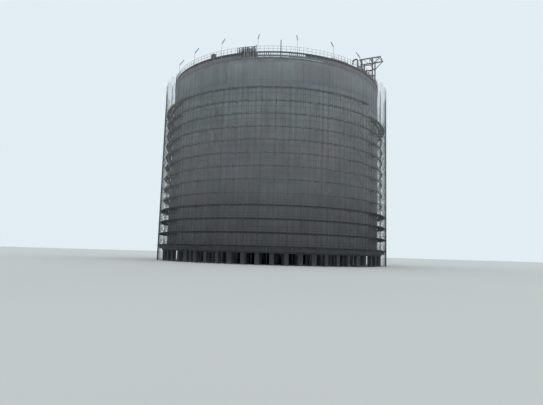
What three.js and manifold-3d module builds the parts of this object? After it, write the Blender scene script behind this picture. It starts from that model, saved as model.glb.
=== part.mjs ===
// Upright refrigerated gas storage tank with its tube scaffold still standing round it, at half size.
//
// Frame: +Z up, origin on the tank's axis at ground level, -Y towards the side that the photograph shows.
// Angles are degrees round the axis from that front side, positive towards +X.
// Dimensions are metres of the real tank, and mm() turns them into millimetres of the half-size model.

import * as THREE from "three";
import { mergeVertices } from "three/addons/utils/BufferGeometryUtils.js";
import Module from "manifold-3d";

const wasm = await Module();
wasm.setup();

// Scale and clearances
const MODEL_SCALE = 1 / 2;
const GAP = 0.0006; // between touching pieces, 0.3 mm on the model
const mm = (metres) => metres * 1000 * MODEL_SCALE;
const SIDES = ["front", "right", "back", "left"];
const UP = new THREE.Vector3(0, 0, 1);

// Concrete tank
const WALL_RADIUS = 22.2;
const WALL_THICKNESS = 0.6;
const WALL_TOP = 35.3;
const WALL_SEGMENTS = 10;
const FIRST_WALL_JOINT = 12;
const ROUND_SIDES = 60;
const FACET_ANGLE = 360 / ROUND_SIDES;
const RING_BEAM_TOP = 35.93;
const RING_BEAM_INNER = 21.1;
const RING_BEAM_SEAT = 0.2; // the beam's inside leans in by this much at its foot, and the dome sits on it
const DOME_TOP = 40.5;
const DOME_THICKNESS = 0.4;
const DOME_STEPS = 4;
const DOME_SEGMENTS = 6;
const FIRST_DOME_JOINT = 33;

// Raised slab on short columns
const SLAB_RADIUS = 23.6;
const SLAB_TOP = 2.9;
const SLAB_THICKNESS = 0.6;
const CAP_BEAM_DEPTH = 0.35;
const CAP_BEAM_WIDTH = 0.9;
const PIER_RINGS = [
  { radius: 22.6, count: 60, columnWidth: 0.65, firstAngle: 0 },
  { radius: 19.2, count: 48, columnWidth: 0.8, firstAngle: 0 },
  { radius: 15.6, count: 40, columnWidth: 0.8, firstAngle: 0 },
  { radius: 12.0, count: 32, columnWidth: 0.8, firstAngle: 0 },
  { radius: 8.4, count: 22, columnWidth: 0.8, firstAngle: 4.1 },
  { radius: 4.6, count: 12, columnWidth: 0.8, firstAngle: 15 },
];

// Scaffold: two rows of standards with a deck between them on each lift. The top deck is missing
// on the right.
const BAYS = 60;
const OUTER_ROW = 24.0;
const INNER_ROW = 22.9;
const STANDARD_RADIUS = 0.07;
const STANDARD_TOP = 36.4;
const FIRST_DECK = 3.0;
const LIFT = 2.275;
const LIFTS = 12;
const DECK_THICKNESS = 0.08;
const TOP_DECK_FROM = 138;
const TOP_DECK_TO = 408;
const GUARD_LINE = 31.3;
const GUARD_LINE_RADIUS = 0.08;

// Walkway on the ring beam, and the steel band along its edge. The band is a plate, with windows
// between rails in a stretch at the front.
const WALK_DECK_THICKNESS = 0.1;
const WALK_INNER = 21.15;
const WALK_TOP = RING_BEAM_TOP + WALK_DECK_THICKNESS;
const BAND_INNER = 22.1;
const BAND_OUTER = 22.25;
const BAND_TOP = 37.2;
const BAND_POST = 0.12;
const WINDOW_OVERCUT = 0.3; // how far a window's cutting tool runs past the band's two faces
const UPPER_WINDOW = { bottom: 36.41, top: 36.97, angles: [-9, -3, 5.5, 13] };
const LOWER_WINDOW = { bottom: 36.08, top: 36.26, angles: [-9, -3, 5.5, 13, 22] };
const RAIL_POSTS = 36;
const RAIL_HEIGHT = 1.1;
const OUTER_RAIL_HEIGHT = 1.0;
const RAIL_RADIUS = 0.04;
const OUTER_RAIL_RADIUS = 22.17;
const INNER_RAIL_RADIUS = 21.25;

// Lights on poles, clipped to a conduit that runs round the band
const LIGHTS = 20;
const LIGHT_FIRST_ANGLE = 9;
const POLE_RADIUS = 0.05;
const CONDUIT_RADIUS = BAND_OUTER + POLE_RADIUS / 2 + GAP;
const CONDUIT_HEIGHT = 37.08;
const POLE_FOOT = 36.45;
const POLE_TOP = 39.45;
const FITTING_LENGTH = 1.55;
const FITTING_TILT = 57;
const FITTING_RADIUS = 0.17;

// Hoist gantry on the rim, and the small pieces that stand on the walkway
const GANTRY_ANGLE = 65;
const GANTRY_WIDTH = 2.48;
const GANTRY_INNER_LEG = 19.65;
const GANTRY_OUTER_LEG = 21.9;
const GANTRY_TOP = 42.15;
const GANTRY_REACH = 23.6;
const GANTRY_BACK = 19.2;
const GANTRY_BEAM = 0.22;
const GANTRY_TIES = [38.2, 39.4, 40.6];
const GANTRY_KNEE_DROP = 1.35;
const GANTRY_KNEE_IN = 0.3;
const GANTRY_KNEE_RADIUS = 0.08;
const PLINTH_HALF = 0.3;
const PLINTH_BOTTOM = 36.3;
const PLINTH_TOP = 36.9;
const DAVIT_ANGLE = 45.2;
const DAVIT_RADIUS = 21.7;
const DAVIT_THICKNESS = 0.2;
const DAVIT_STRAIGHT = 2.45;
const DAVIT_TOP = 3.25;
const DAVIT_REACH = 1.1;
const DAVIT_DROP = 0.8;
const GUARD_FROM = -19;
const GUARD_TO = -10;
const GUARD_POSTS = 10;
const GUARD_RADIUS = 21.96;
const GUARD_TOP = 38.3;
const GUARD_POST_RADIUS = 0.05;
const GUARD_RAIL_RADIUS = 0.035;
const CABINET_ANGLE = -33;
const CABINET_RADIUS = 21.65;
const CABINET_TOP = 38.15;
const CABINET_HALF_WIDTH = 0.45;
const CABINET_HALF_DEPTH = 0.25;
const MAST_ANGLE = 1.5;
const MAST_RADIUS = 21.7;
const MAST_TOP = 39.55;
const MAST_THICKNESS = 0.2;

const MATERIALS = {
  concrete: new THREE.MeshStandardMaterial({ color: 0x8d9094, roughness: 0.9, metalness: 0 }),
  darkConcrete: new THREE.MeshStandardMaterial({ color: 0x6c6c6a, roughness: 0.95, metalness: 0 }),
  galvanised: new THREE.MeshStandardMaterial({ color: 0x7d8284, roughness: 0.55, metalness: 0.8 }),
  boards: new THREE.MeshStandardMaterial({ color: 0x4d4740, roughness: 0.9, metalness: 0 }),
  walkway: new THREE.MeshStandardMaterial({ color: 0x47484a, roughness: 0.6, metalness: 0.5 }),
  primer: new THREE.MeshStandardMaterial({ color: 0x5a3b34, roughness: 0.7, metalness: 0.3 }),
  lighting: new THREE.MeshStandardMaterial({ color: 0x3a3c40, roughness: 0.5, metalness: 0.4 }),
};

const tank = new THREE.Group();

// Points and outlines in plan

function planPoint(radius, angle) {
  const turn = THREE.MathUtils.degToRad(angle);
  return new THREE.Vector2(mm(radius) * Math.sin(turn), -mm(radius) * Math.cos(turn));
}

function spacePoint(radius, angle, height) {
  const plan = planPoint(radius, angle);
  return new THREE.Vector3(plan.x, plan.y, mm(height));
}

function arcPoints(radius, from, to, steps) {
  const points = [];
  for (let i = 0; i <= steps; i++) {
    points.push(planPoint(radius, from + ((to - from) * i) / steps));
  }
  return points;
}

function polygonPoints(radius, sides) {
  return arcPoints(radius, 0, 360 - 360 / sides, sides - 1);
}

// Solids: each function returns one closed geometry with its faces outward

function upright(outline, bottom, top) {
  const geometry = new THREE.ExtrudeGeometry(outline, { depth: mm(top - bottom), bevelEnabled: false });
  return geometry.translate(0, 0, mm(bottom));
}

function disc(radius, bottom, top, sides) {
  return upright(new THREE.Shape(polygonPoints(radius, sides)), bottom, top);
}

// Outline of part of a ring, with its corners at the same angles as the full ring's.
function arcOutline(inner, outer, from, to) {
  const steps = Math.round((to - from) / FACET_ANGLE);
  return [...arcPoints(outer, from, to, steps), ...arcPoints(inner, from, to, steps).reverse()];
}

// Part of a flat ring. It stops half a gap short at both ends, so that the next part can follow.
function flatArc(inner, outer, bottom, top, from, to) {
  const trim = THREE.MathUtils.radToDeg(GAP / 2 / inner);
  return upright(new THREE.Shape(arcOutline(inner, outer, from + trim, to - trim)), bottom, top);
}

function flatRing(inner, outer, bottom, top, sides) {
  const outline = new THREE.Shape(polygonPoints(outer, sides));
  outline.holes.push(new THREE.Path(polygonPoints(inner, sides).reverse()));
  return upright(outline, bottom, top);
}

// A round bar bent into a ring, with few sides; one corner points outward.
function barRing(radius, height, barRadius, barSides, sides) {
  const section = [];
  for (let i = 0; i <= barSides; i++) {
    const turn = (2 * Math.PI * i) / barSides;
    section.push(
      new THREE.Vector2(mm(radius + barRadius * Math.cos(turn)), mm(height + barRadius * Math.sin(turn))),
    );
  }
  return new THREE.LatheGeometry(section, sides).rotateX(Math.PI / 2);
}

// A straight bar between two points; its section's first corner points along the given side.
function bar(start, end, barRadius, barSides, side) {
  const section = [];
  for (let i = 0; i < barSides; i++) {
    const turn = (2 * Math.PI * i) / barSides;
    section.push(new THREE.Vector2(mm(barRadius) * Math.cos(turn), mm(barRadius) * Math.sin(turn)));
  }
  const along = end.clone().sub(start);
  const geometry = new THREE.ExtrudeGeometry(new THREE.Shape(section), {
    depth: along.length(),
    bevelEnabled: false,
  });
  const zAxis = along.normalize();
  const xAxis = side.clone().addScaledVector(zAxis, -side.dot(zAxis)).normalize();
  const yAxis = new THREE.Vector3().crossVectors(zAxis, xAxis);
  const frame = new THREE.Matrix4().makeBasis(xAxis, yAxis, zAxis).setPosition(start);
  return geometry.applyMatrix4(frame);
}

function outwardAt(angle) {
  const plan = planPoint(1, angle).normalize();
  return new THREE.Vector3(plan.x, plan.y, 0);
}

// A rectangular box between two corners of a local frame, in metres of the real tank.
function block(low, high) {
  const size = [0, 1, 2].map((i) => mm(high[i] - low[i]));
  const middle = [0, 1, 2].map((i) => mm(high[i] + low[i]) / 2);
  return new THREE.BoxGeometry(...size).translate(...middle);
}

// Turns a closed geometry into a solid that can be joined and cut, and back.
function solidOf(geometry) {
  const bare = geometry.clone();
  bare.deleteAttribute("normal");
  bare.deleteAttribute("uv");
  const merged = mergeVertices(bare, 1e-3);
  return new wasm.Manifold(
    new wasm.Mesh({
      numProp: 3,
      vertProperties: new Float32Array(merged.attributes.position.array),
      triVerts: new Uint32Array(merged.index.array),
    }),
  );
}

function geometryOf(solid) {
  const mesh = solid.getMesh();
  const geometry = new THREE.BufferGeometry();
  geometry.setAttribute("position", new THREE.BufferAttribute(mesh.vertProperties, 3));
  geometry.setIndex(new THREE.BufferAttribute(mesh.triVerts, 1));
  geometry.computeVertexNormals();
  return geometry;
}

function fuse(geometries) {
  return geometryOf(geometries.map(solidOf).reduce((sum, solid) => sum.add(solid)));
}

function cut(geometry, tools) {
  return geometryOf(tools.map(solidOf).reduce((rest, tool) => rest.subtract(tool), solidOf(geometry)));
}

// Part of a round solid between two upright joints, cut half a gap short of each.
function sector(geometry, from, to) {
  const middle = (from + to) / 2;
  const reach = 2 * WALL_RADIUS;
  const corners = [planPoint(0, 0), planPoint(reach, from), planPoint(reach, middle), planPoint(reach, to)];
  const shift = mm(GAP / 2) / Math.sin(THREE.MathUtils.degToRad(to - from) / 2);
  const outward = outwardAt(middle).multiplyScalar(shift);
  const wedge = upright(new THREE.Shape(corners), 0, DOME_TOP + 1).translate(outward.x, outward.y, 0);
  return geometryOf(solidOf(geometry).intersect(solidOf(wedge)));
}

function numbered(name, index) {
  return `${name}_${String(index + 1).padStart(2, "0")}`;
}

function addPiece(name, geometry, material, parent = tank) {
  const piece = new THREE.Mesh(geometry, material);
  piece.name = name;
  parent.add(piece);
}

// Adds a round piece as four quarters, one for each side.
function addQuarters(name, geometry, material) {
  SIDES.forEach((side, i) => {
    addPiece(`${name}_${side}`, sector(geometry, i * 90 - 45, i * 90 + 45), material);
  });
}

// Raised slab and the columns under it

function pierRing({ radius, count, columnWidth, firstAngle }) {
  const capTop = SLAB_TOP - SLAB_THICKNESS - GAP;
  const capBottom = capTop - CAP_BEAM_DEPTH;
  const half = CAP_BEAM_WIDTH / 2;
  const pieces = [flatRing(radius - half, radius + half, capBottom, capTop, count)];
  for (let i = 0; i < count; i++) {
    const angle = (360 * i) / count;
    const foot = spacePoint(radius, angle, 0);
    const head = spacePoint(radius, angle, capBottom + CAP_BEAM_DEPTH / 2);
    const corner = outwardAt(angle + 45);
    pieces.push(bar(foot, head, columnWidth * Math.SQRT1_2, 4, corner));
  }
  return fuse(pieces).rotateZ(THREE.MathUtils.degToRad(firstAngle));
}

function addBase() {
  const slabBottom = SLAB_TOP - SLAB_THICKNESS;
  addPiece("base_slab", disc(SLAB_RADIUS, slabBottom, SLAB_TOP, ROUND_SIDES), MATERIALS.concrete);
  const [outerRing, ...innerRings] = PIER_RINGS;
  addQuarters("pier_ring_01", pierRing(outerRing), MATERIALS.darkConcrete);
  innerRings.forEach((ring, i) => {
    addPiece(numbered("pier_ring", i + 1), pierRing(ring), MATERIALS.darkConcrete);
  });
}

// Concrete wall in segments, the ring beam on it, and the dome with the plinths for the gantry

function addWall() {
  const span = 360 / WALL_SEGMENTS;
  const inner = WALL_RADIUS - WALL_THICKNESS;
  for (let i = 0; i < WALL_SEGMENTS; i++) {
    const from = FIRST_WALL_JOINT + i * span;
    const segment = flatArc(inner, WALL_RADIUS, SLAB_TOP + GAP, WALL_TOP, from, from + span);
    addPiece(numbered("wall_segment", i), segment, MATERIALS.concrete);
  }
}

// Height of a sphere cap that passes through (rimRadius, rimHeight) and its own top.
function capHeight(radius, rimRadius, rimHeight, top) {
  const rise = top - rimHeight;
  const sphere = (rimRadius * rimRadius + rise * rise) / (2 * rise);
  return top - sphere + Math.sqrt(sphere * sphere - radius * radius);
}

function addRingBeam() {
  const foot = WALL_TOP + GAP;
  const profile = [
    new THREE.Vector2(mm(RING_BEAM_INNER - RING_BEAM_SEAT), mm(foot)),
    new THREE.Vector2(mm(WALL_RADIUS), mm(foot)),
    new THREE.Vector2(mm(WALL_RADIUS), mm(RING_BEAM_TOP)),
    new THREE.Vector2(mm(RING_BEAM_INNER), mm(RING_BEAM_TOP)),
    new THREE.Vector2(mm(RING_BEAM_INNER - RING_BEAM_SEAT), mm(foot)),
  ];
  const ring = new THREE.LatheGeometry(profile, ROUND_SIDES).rotateX(Math.PI / 2);
  addPiece("ring_beam", ring, MATERIALS.concrete);
}

function domeShell() {
  const taper = RING_BEAM_SEAT / (RING_BEAM_TOP - WALL_TOP);
  const topRim = RING_BEAM_INNER - 1.1 * GAP;
  const lowRim = topRim - taper * DOME_THICKNESS;
  const profile = [];
  for (let i = 0; i <= DOME_STEPS; i++) {
    const radius = (lowRim * i) / DOME_STEPS;
    const height = capHeight(radius, lowRim, RING_BEAM_TOP, DOME_TOP) - DOME_THICKNESS;
    profile.push(new THREE.Vector2(mm(radius), mm(height)));
  }
  for (let i = DOME_STEPS; i >= 0; i--) {
    const radius = (topRim * i) / DOME_STEPS;
    const height = capHeight(radius, topRim, RING_BEAM_TOP, DOME_TOP);
    profile.push(new THREE.Vector2(mm(radius), mm(height)));
  }
  return new THREE.LatheGeometry(profile, ROUND_SIDES).rotateX(Math.PI / 2);
}

function addDome() {
  const pieces = [domeShell()];
  for (const y of [-GANTRY_WIDTH / 2, GANTRY_WIDTH / 2]) {
    const low = [GANTRY_INNER_LEG - PLINTH_HALF, y - PLINTH_HALF, PLINTH_BOTTOM];
    const high = [GANTRY_INNER_LEG + PLINTH_HALF, y + PLINTH_HALF, PLINTH_TOP];
    pieces.push(block(low, high).rotateZ(THREE.MathUtils.degToRad(GANTRY_ANGLE - 90)));
  }
  const dome = fuse(pieces);
  const span = 360 / DOME_SEGMENTS;
  for (let i = 0; i < DOME_SEGMENTS; i++) {
    const from = FIRST_DOME_JOINT + i * span;
    addPiece(numbered("dome_segment", i), sector(dome, from, from + span), MATERIALS.concrete);
  }
}

// Scaffold round the wall

function standardRow(rowRadius, foot, cornerSide) {
  const pieces = [barRing(rowRadius, GUARD_LINE, GUARD_LINE_RADIUS, 3, BAYS)];
  for (let i = 0; i < BAYS; i++) {
    const angle = (360 * i) / BAYS;
    const start = spacePoint(rowRadius, angle, foot);
    const end = spacePoint(rowRadius, angle, STANDARD_TOP);
    const side = outwardAt(angle).multiplyScalar(cornerSide);
    pieces.push(bar(start, end, STANDARD_RADIUS, 3, side));
  }
  return fuse(pieces);
}

function addScaffold() {
  addQuarters("scaffold_outer_standards", standardRow(OUTER_ROW, 0, 1), MATERIALS.galvanised);
  addPiece("scaffold_inner_standards", standardRow(INNER_ROW, SLAB_TOP + GAP, -1), MATERIALS.galvanised);
  const flatFace = STANDARD_RADIUS / 2;
  const flatHalfWidth = STANDARD_RADIUS * Math.sin(Math.PI / 3);
  const deckInner = INNER_ROW + flatFace + flatHalfWidth * Math.tan(Math.PI / BAYS) + GAP;
  const deckOuter = OUTER_ROW - flatFace - GAP;
  for (let lift = 0; lift <= LIFTS; lift++) {
    const top = FIRST_DECK + lift * LIFT;
    const deckBottom = top - DECK_THICKNESS;
    const deck =
      lift < LIFTS
        ? flatRing(deckInner, deckOuter, deckBottom, top, BAYS)
        : flatArc(deckInner, deckOuter, deckBottom, top, TOP_DECK_FROM, TOP_DECK_TO);
    addPiece(numbered("scaffold_deck", lift), deck, MATERIALS.boards);
  }
}

// Walkway and the band along its edge

function bandWindows({ bottom, top, angles }) {
  const postAngle = THREE.MathUtils.radToDeg(BAND_POST / 2 / BAND_OUTER);
  const windows = [];
  for (let i = 0; i + 1 < angles.length; i++) {
    const from = angles[i] + postAngle;
    const to = angles[i + 1] - postAngle;
    windows.push(flatArc(BAND_INNER - WINDOW_OVERCUT, BAND_OUTER + WINDOW_OVERCUT, bottom, top, from, to));
  }
  return windows;
}

function addWalkway() {
  const foot = RING_BEAM_TOP + GAP;
  const deck = flatRing(WALK_INNER, BAND_INNER - GAP, foot, WALK_TOP, ROUND_SIDES);
  const plate = flatRing(BAND_INNER, BAND_OUTER, foot, BAND_TOP, ROUND_SIDES);
  const windows = [...bandWindows(UPPER_WINDOW), ...bandWindows(LOWER_WINDOW)];
  addPiece("walkway_deck", deck, MATERIALS.walkway);
  addPiece("walkway_edge_band", cut(plate, windows), MATERIALS.walkway);
}

function handrail(radius, foot, height, railHeights) {
  const pieces = railHeights.map((rail) => barRing(radius, foot + rail, RAIL_RADIUS, 3, RAIL_POSTS));
  for (let i = 0; i < RAIL_POSTS; i++) {
    const angle = (360 * i) / RAIL_POSTS;
    const start = spacePoint(radius, angle, foot);
    const end = spacePoint(radius, angle, foot + height);
    pieces.push(bar(start, end, RAIL_RADIUS, 3, outwardAt(angle)));
  }
  return fuse(pieces);
}

function addHandrails() {
  const outerFoot = BAND_TOP + GAP;
  const innerFoot = WALK_TOP + GAP;
  const outerHeights = [OUTER_RAIL_HEIGHT / 2, OUTER_RAIL_HEIGHT];
  const outer = handrail(OUTER_RAIL_RADIUS, outerFoot, OUTER_RAIL_HEIGHT, outerHeights);
  addQuarters("outer_handrail", outer, MATERIALS.walkway);
  const inner = handrail(INNER_RAIL_RADIUS, innerFoot, RAIL_HEIGHT, [RAIL_HEIGHT]);
  addPiece("inner_handrail", inner, MATERIALS.walkway);
}

// Lights

function addLights() {
  const pieces = [barRing(CONDUIT_RADIUS, CONDUIT_HEIGHT, POLE_RADIUS, 3, ROUND_SIDES)];
  const tilt = THREE.MathUtils.degToRad(FITTING_TILT);
  for (let i = 0; i < LIGHTS; i++) {
    const angle = LIGHT_FIRST_ANGLE + (360 * i) / LIGHTS;
    const foot = spacePoint(CONDUIT_RADIUS, angle, POLE_FOOT);
    const head = spacePoint(CONDUIT_RADIUS, angle, POLE_TOP);
    const inward = FITTING_LENGTH * Math.cos(tilt);
    const rise = FITTING_LENGTH * Math.sin(tilt);
    const tip = spacePoint(CONDUIT_RADIUS - inward, angle, POLE_TOP + rise);
    pieces.push(bar(foot, head, POLE_RADIUS, 3, outwardAt(angle)));
    pieces.push(bar(head, tip, FITTING_RADIUS, 4, outwardAt(angle + 45)));
  }
  addPiece("lighting_ring", fuse(pieces), MATERIALS.lighting);
}

// Hoist gantry: its group's +X points outward along the gantry's own radius

function addGantry() {
  const gantry = new THREE.Group();
  gantry.rotation.z = THREE.MathUtils.degToRad(GANTRY_ANGLE - 90);
  tank.add(gantry);
  const half = GANTRY_BEAM / 2;
  const legTop = GANTRY_TOP - GANTRY_BEAM - GAP;
  const rows = [-GANTRY_WIDTH / 2, GANTRY_WIDTH / 2];
  const frame = [];
  for (const y of rows) {
    const inner = [GANTRY_INNER_LEG - half, y - half, PLINTH_TOP + GAP];
    frame.push(block(inner, [GANTRY_INNER_LEG + half, y + half, legTop]));
    const outer = [GANTRY_OUTER_LEG - half, y - half, WALK_TOP + GAP];
    frame.push(block(outer, [GANTRY_OUTER_LEG + half, y + half, legTop]));
    for (const height of GANTRY_TIES) {
      const low = [GANTRY_INNER_LEG, y - half / 2, height - half / 2];
      frame.push(block(low, [GANTRY_OUTER_LEG, y + half / 2, height + half / 2]));
    }
    const kneeFoot = new THREE.Vector3(mm(GANTRY_OUTER_LEG), mm(y), mm(legTop - GANTRY_KNEE_DROP));
    const headHeight = legTop - 1.1 * GANTRY_KNEE_RADIUS;
    const kneeHead = new THREE.Vector3(mm(GANTRY_REACH - GANTRY_KNEE_IN), mm(y), mm(headHeight));
    frame.push(bar(kneeFoot, kneeHead, GANTRY_KNEE_RADIUS, 4, UP));
  }
  for (const height of GANTRY_TIES) {
    const low = [GANTRY_INNER_LEG - half / 2, rows[0], height - half / 2];
    frame.push(block(low, [GANTRY_INNER_LEG + half / 2, rows[1], height + half / 2]));
  }
  addPiece("gantry_frame", fuse(frame), MATERIALS.primer, gantry);

  const runway = [];
  for (const y of rows) {
    const low = [GANTRY_BACK, y - half, GANTRY_TOP - GANTRY_BEAM];
    runway.push(block(low, [GANTRY_REACH, y + half, GANTRY_TOP]));
  }
  for (const x of [GANTRY_BACK, (GANTRY_BACK + GANTRY_REACH) / 2, GANTRY_REACH - GANTRY_BEAM]) {
    const low = [x, rows[0], GANTRY_TOP - GANTRY_BEAM * 0.9];
    runway.push(block(low, [x + GANTRY_BEAM, rows[1], GANTRY_TOP - GANTRY_BEAM * 0.1]));
  }
  addPiece("gantry_runway", fuse(runway), MATERIALS.primer, gantry);
}

// Small pieces on the walkway

function addDavit() {
  const outward = outwardAt(DAVIT_ANGLE);
  const place = (reach, height) =>
    spacePoint(DAVIT_RADIUS, DAVIT_ANGLE, WALK_TOP + height).addScaledVector(outward, -mm(reach));
  const path = new THREE.CurvePath();
  path.add(new THREE.LineCurve3(place(0, GAP), place(0, DAVIT_STRAIGHT)));
  path.add(
    new THREE.QuadraticBezierCurve3(
      place(0, DAVIT_STRAIGHT),
      place(0, DAVIT_TOP),
      place(DAVIT_REACH / 2, DAVIT_TOP),
    ),
  );
  path.add(
    new THREE.QuadraticBezierCurve3(
      place(DAVIT_REACH / 2, DAVIT_TOP),
      place(DAVIT_REACH, DAVIT_TOP),
      place(DAVIT_REACH, DAVIT_TOP - DAVIT_DROP),
    ),
  );
  const section = new THREE.Shape(polygonPoints(DAVIT_THICKNESS / 2, 6));
  const arm = new THREE.ExtrudeGeometry(section, { steps: 20, bevelEnabled: false, extrudePath: path });
  addPiece("davit_arm", arm, MATERIALS.primer);
}

function addLoadingGuard() {
  const foot = WALK_TOP + GAP;
  const step = (GUARD_TO - GUARD_FROM) / (GUARD_POSTS - 1);
  const place = (post, height) => spacePoint(GUARD_RADIUS, GUARD_FROM + post * step, height);
  const pieces = [];
  for (let i = 0; i < GUARD_POSTS; i++) {
    const side = outwardAt(GUARD_FROM + i * step);
    pieces.push(bar(place(i, foot), place(i, GUARD_TOP), GUARD_POST_RADIUS, 4, side));
    if (i < GUARD_POSTS - 1) {
      for (const height of [(foot + GUARD_TOP) / 2, GUARD_TOP - GUARD_RAIL_RADIUS]) {
        pieces.push(bar(place(i, height), place(i + 1, height), GUARD_RAIL_RADIUS, 4, UP));
      }
    }
  }
  addPiece("loading_guard", fuse(pieces), MATERIALS.walkway);
}

function addCabinetAndMast() {
  const low = [-CABINET_HALF_WIDTH, -CABINET_HALF_DEPTH, WALK_TOP + GAP];
  const cabinet = block(low, [CABINET_HALF_WIDTH, CABINET_HALF_DEPTH, CABINET_TOP]);
  const place = new THREE.Group();
  place.position.copy(spacePoint(CABINET_RADIUS, CABINET_ANGLE, 0));
  place.rotation.z = THREE.MathUtils.degToRad(CABINET_ANGLE);
  tank.add(place);
  addPiece("walkway_cabinet", cabinet, MATERIALS.walkway, place);
  const foot = spacePoint(MAST_RADIUS, MAST_ANGLE, WALK_TOP + GAP);
  const head = spacePoint(MAST_RADIUS, MAST_ANGLE, MAST_TOP);
  const mast = bar(foot, head, MAST_THICKNESS / 2, 6, outwardAt(MAST_ANGLE));
  addPiece("walkway_mast", mast, MATERIALS.lighting);
}

addBase();
addWall();
addRingBeam();
addDome();
addScaffold();
addWalkway();
addHandrails();
addLights();
addGantry();
addDavit();
addLoadingGuard();
addCabinetAndMast();

export default tank;
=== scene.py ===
"""Looks of an upright refrigerated gas storage tank with its tube scaffold, at half size.

Lengths are metres of the real tank. Angles are degrees round its axis, from the side that the
photograph shows, positive towards +X. SCALE turns those lengths into the model's metres.
"""

import random
from math import cos, degrees, pi, radians, sin, sqrt

import bpy
import numpy as np
from mathutils import Matrix, Vector


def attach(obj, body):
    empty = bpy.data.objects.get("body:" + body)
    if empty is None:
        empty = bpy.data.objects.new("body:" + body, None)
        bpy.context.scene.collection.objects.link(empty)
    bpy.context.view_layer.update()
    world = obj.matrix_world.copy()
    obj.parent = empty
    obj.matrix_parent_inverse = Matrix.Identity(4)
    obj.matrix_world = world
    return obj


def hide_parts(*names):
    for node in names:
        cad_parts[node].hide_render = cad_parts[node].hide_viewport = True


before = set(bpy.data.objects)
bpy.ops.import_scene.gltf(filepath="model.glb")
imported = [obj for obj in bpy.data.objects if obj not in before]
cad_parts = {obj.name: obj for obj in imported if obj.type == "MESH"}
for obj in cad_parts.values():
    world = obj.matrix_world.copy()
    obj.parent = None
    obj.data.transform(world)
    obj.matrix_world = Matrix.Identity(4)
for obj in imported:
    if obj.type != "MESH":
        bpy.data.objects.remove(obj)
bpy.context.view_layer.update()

SCALE = 0.5
GAP = 0.0006
SIDES = ("front", "right", "back", "left")
WALL_SEED = 3
SCAFFOLD_SEED = 7
WALKWAY_SEED = 11

# Concrete tank
WALL_RADIUS = 22.2
WALL_DEPTH = 0.6
WALL_TOP = 35.3
WALL_SEGMENTS = 10
FIRST_JOINT = 12.0
PANEL_ANGLE = 18.0
POURS = 9
MARKS_PER_PANEL = 46.0
JOINT_DEPTH = 0.025
JOINT_HALF = 0.035
# Half widths of the joints' floors
LEVEL_FLOOR = JOINT_HALF * 0.3
UPRIGHT_FLOOR = JOINT_HALF * 0.2
POUR_UNEVENNESS = 0.014
TIE_RADIUS = 0.035
TIE_COLUMNS = 5
TIE_ROWS = 2
TIE_PLUG_DEPTH = 0.03
TIE_PLUG_PROUD = 0.004
RING_TOP = 35.93
RING_INNER = 21.1
RING_SEAT = 0.2
DOME_TOP = 40.5
DOME_DEPTH = 0.4
DOME_SEGMENTS = 6
DOME_RINGS = 24
DOME_GAP = GAP * 1.1
DOME_JOINTS = (4.6, 8.8, 12.8, 16.7)

# Raised slab on short columns
SLAB_RADIUS = 23.6
SLAB_TOP = 2.9
SLAB_DEPTH = 0.6
CAP_DEPTH = 0.35
CAP_WIDTH = 0.9
CHAMFER = 0.03
# Each ring's radius, number of columns, their width, and the first one's angle
PIER_RINGS = (
    (22.6, 60, 0.65, 0.0),
    (19.2, 48, 0.8, 0.0),
    (15.6, 40, 0.8, 0.0),
    (12.0, 32, 0.8, 0.0),
    (8.4, 22, 0.8, 4.1),
    (4.6, 12, 0.8, 15.0),
)

# Scaffold
BAYS = 60
BAY_ANGLE = 360 / BAYS
OUTER_ROW = 24.0
INNER_ROW = 22.9
OUTER_PER_BAY = 3
INNER_PER_BAY = 2
STANDARD_TOP = 36.4
STANDARD_CUTS = (0.0, 0.15, 0.4, 0.9)
STANDARD_LEAN = 0.02
JACK_HEIGHT = 0.12
TUBE_LENGTH = 3.0
SLEEVES = 10
SLEEVE_HALF = 0.06
PLATE_WIDTH = 0.14
PLATE_DEPTH = 0.012
FIRST_DECK = 3.0
LIFT = 2.275
LIFTS = 12
LAST_DARK_LIFT = 3
LOWERED = (48, 138)
TUBE = 0.0242
TUBE_SIDES = 7
RAIL_OVERLAP = 0.06
TRANSOM_TURN = 0.12
COUPLER_REACH = 0.055
COUPLER_HALF = 0.03
BOARD_WIDTH = 0.225
BOARD_DEPTH = 0.038
BOARD_GAP = 0.008
BOARDS_INNER = 22.99
FULL_ROWS = 3
PALE_ROWS = 2
WALL_BOARDS_INNER = 22.36
WALL_ROWS = 2
FRONT_ANGLE = 57
NARROW = (57, 123)
# Near-black tints for the low lifts' boards are painted shade, for undersides in shadow
LOW_TINTS_PAINTED_SHADE = (0.0, 0.05)
TOP_TINTS = (0.75, 0.95)
PALE_TINTS = (0.8, 1.0)
TOE_BOARD_RISE = 0.075
GUARD_RISES = (0.5, 1.0)
BRACED_EVERY = 6
TIED_EVERY = 3
LADDER_ANGLE = -30
LADDER_TURNS = (1.2, 4.6)
LADDER_INSET = 0.35
LADDER_HALF = 0.2
LADDER_PAST = 0.9
LADDER_STEPS = 10

# Walkway on the ring beam, and the steel band along its edge
WALK_INNER = 21.15
WALK_TOP = 36.03
WALK_BAYS = 120
WALK_BAY_ANGLE = 360 / WALK_BAYS
WALK_ROWS = 4
WALK_BOARD = 0.222
BEARER = 0.06
BAND_INNER = 22.1
BAND_OUTER = 22.25
BAND_TOP = 37.2
BAND_POST = 0.12
PLATE_ANGLE = 6
PLATE_LAP = 0.01
RIB_ANGLE = 1.5
WINDOW = (36.56, 36.97)
WINDOW_ANGLES = (-9, -3, 5.5, 13)
LEFT_SLIT = (36.15, 36.36)
LEFT_SLIT_ANGLES = (-9, -3, 5.5)
RIGHT_SLIT = (36.09, 36.26)
RIGHT_SLIT_ANGLES = (5.5, 13, 22)
BARS_PER_DEGREE = 2
BAR_DEPTH = 0.04
SLIT_BAR = 0.075
THIN_BAR = 0.04
WIDE_BAR = 0.11
BAND_TEETH = 9
FIRST_TOOTH = 26.5
TOOTH_ANGLE = 1.15
TOOTH_HEIGHT = 0.21
PRIMER_FROM = 22
PRIMER_FADE = 10
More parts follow.
